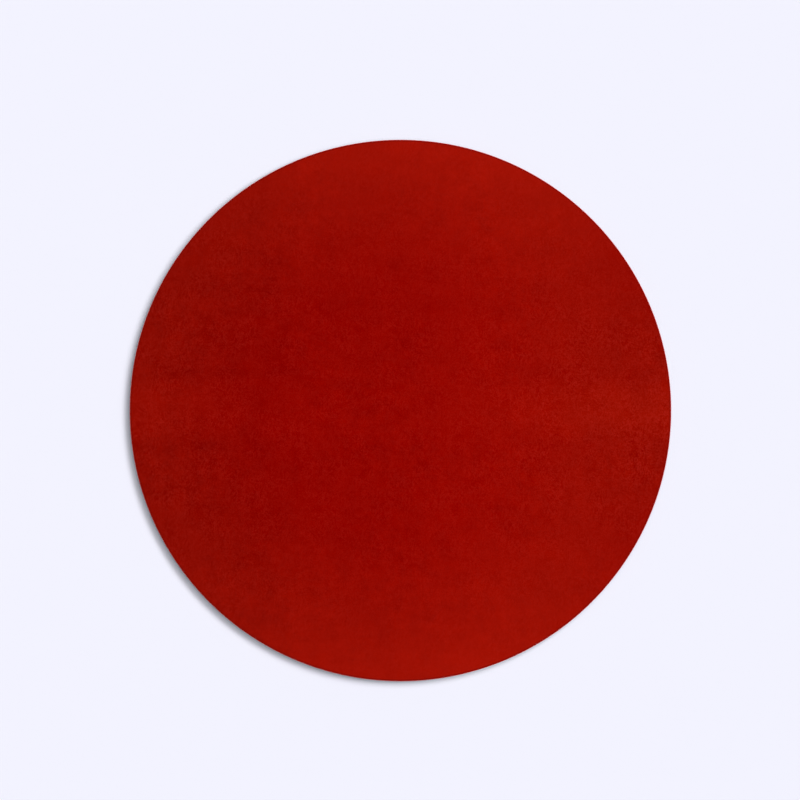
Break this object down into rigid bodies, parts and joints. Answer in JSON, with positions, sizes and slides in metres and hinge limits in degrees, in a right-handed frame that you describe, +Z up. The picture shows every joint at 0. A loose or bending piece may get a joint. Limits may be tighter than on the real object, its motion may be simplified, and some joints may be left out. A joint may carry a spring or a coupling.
{
  "type": "round mouse pad",
  "caption": "Round die-cut mouse pad with a grained red leatherette face bonded to a sponge rubber base with a zigzag anti-slip tread.",
  "frame": {"origin": "centre of the underside, on the desk that the pad lies on", "axes": "+Z up through the pad's thickness, +Y away from the person using it, +X to that person's right"},
  "size_m": [0.24, 0.24, 0.003],
  "materials": {
    "red_leatherette": "fine-grained, satin, mottled deep red",
    "carrier_knit": "dyed knit, matte, cut edge",
    "hot_melt": "translucent amber film, satin",
    "black_rubber": "matte sponge rubber with fine cells on the cut edge"
  },
  "bodies": {
    "root": {"leather_skin": "red_leatherette", "backing_cloth": "carrier_knit", "bond_film": "hot_melt", "rubber_base": "black_rubber"}
  },
  "joints": []
}
